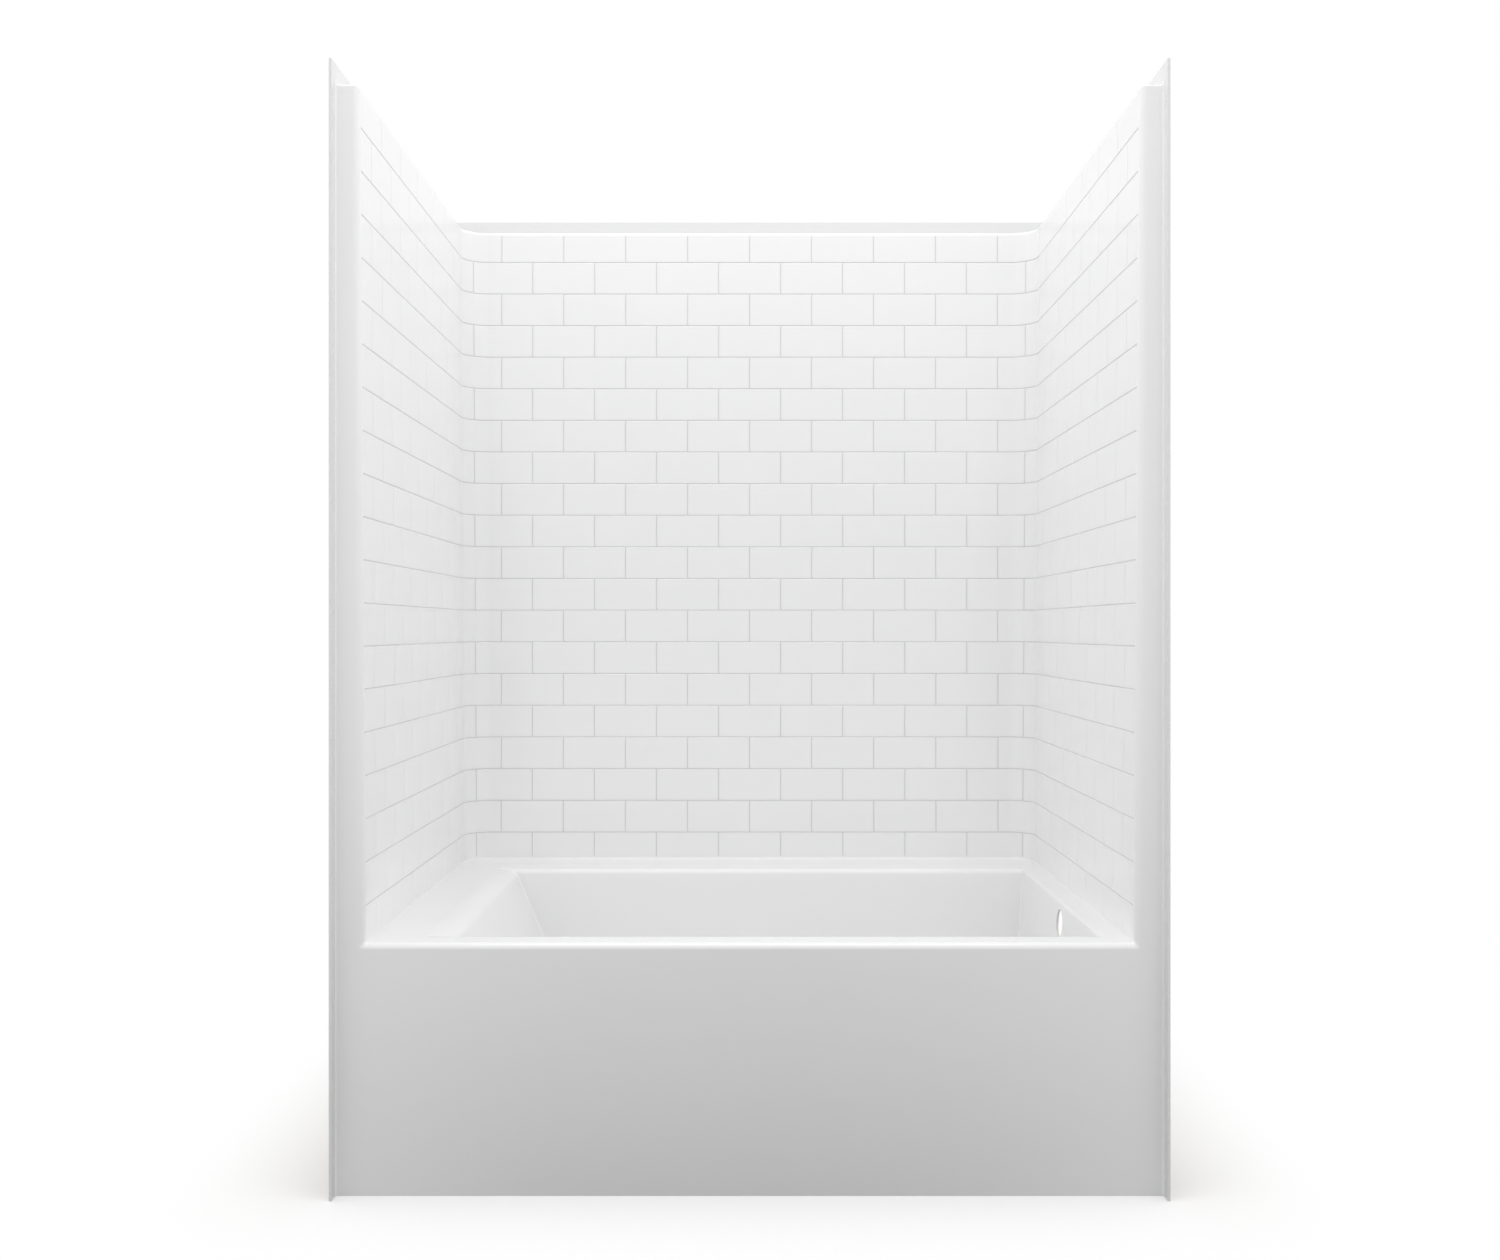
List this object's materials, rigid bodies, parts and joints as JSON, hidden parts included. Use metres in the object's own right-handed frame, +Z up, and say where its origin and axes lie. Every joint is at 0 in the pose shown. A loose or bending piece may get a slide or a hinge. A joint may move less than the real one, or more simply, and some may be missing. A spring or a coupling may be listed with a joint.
{
  "type": "tub and shower unit",
  "caption": "White recess tub and shower with tiled-look walls, nailing flange, plain apron and drain at the right, on its timber and foam support.",
  "frame": {"origin": "on the floor, in the middle of the unit's width and depth", "axes": "+Z up, +X towards the drain end, +Y towards the back wall, so that the apron faces -Y"},
  "size_m": [1.524, 1.0928, 2.07],
  "materials": {
    "gelcoat": "high-gloss white moulded surface on a glass fibre backing",
    "pine": "planed softwood",
    "plywood": "sanded plywood",
    "foam": "rigid foam",
    "screw_steel": "zinc-plated"
  },
  "bodies": {
    "root": {"bathtub": "gelcoat", "front_apron": "gelcoat", "back_wall": "gelcoat", "left_wall": "gelcoat", "right_wall": "gelcoat", "left_corner": "gelcoat", "right_corner": "gelcoat", "left_column": "gelcoat", "right_column": "gelcoat", "left_front_flange": "gelcoat", "right_front_flange": "gelcoat", "left_ledge": "gelcoat", "right_ledge": "gelcoat", "back_ledge": "gelcoat", "left_top_flange": "gelcoat", "right_top_flange": "gelcoat", "back_top_flange": "gelcoat", "foam_bed": "foam", "base_board": "plywood", "front_runner": "pine", "rear_runner": "pine", "left_deck_rail": "pine", "right_deck_rail": "pine", "back_deck_rail": "pine", "left_front_leg": "pine", "left_rear_leg": "pine", "right_front_leg": "pine", "right_rear_leg": "pine", "back_left_leg": "pine", "back_right_leg": "pine", "apron_cleat": "pine", "apron_upright_1": "pine", "apron_upright_2": "pine", "apron_upright_3": "pine", "back_board_1": "plywood", "back_board_2": "plywood", "back_board_3": "plywood", "left_board_1": "plywood", "left_board_2": "plywood", "right_board_1": "plywood", "right_board_2": "plywood", "base_screw_1": "screw_steel", "base_screw_2": "screw_steel", "base_screw_3": "screw_steel", "base_screw_4": "screw_steel", "left_front_leg_screw": "screw_steel", "left_rear_leg_screw": "screw_steel", "right_front_leg_screw": "screw_steel", "right_rear_leg_screw": "screw_steel", "back_left_leg_screw": "screw_steel", "back_right_leg_screw": "screw_steel", "apron_upright_1_screw": "screw_steel", "apron_upright_2_screw": "screw_steel", "apron_upright_3_screw": "screw_steel"}
  },
  "joints": []
}
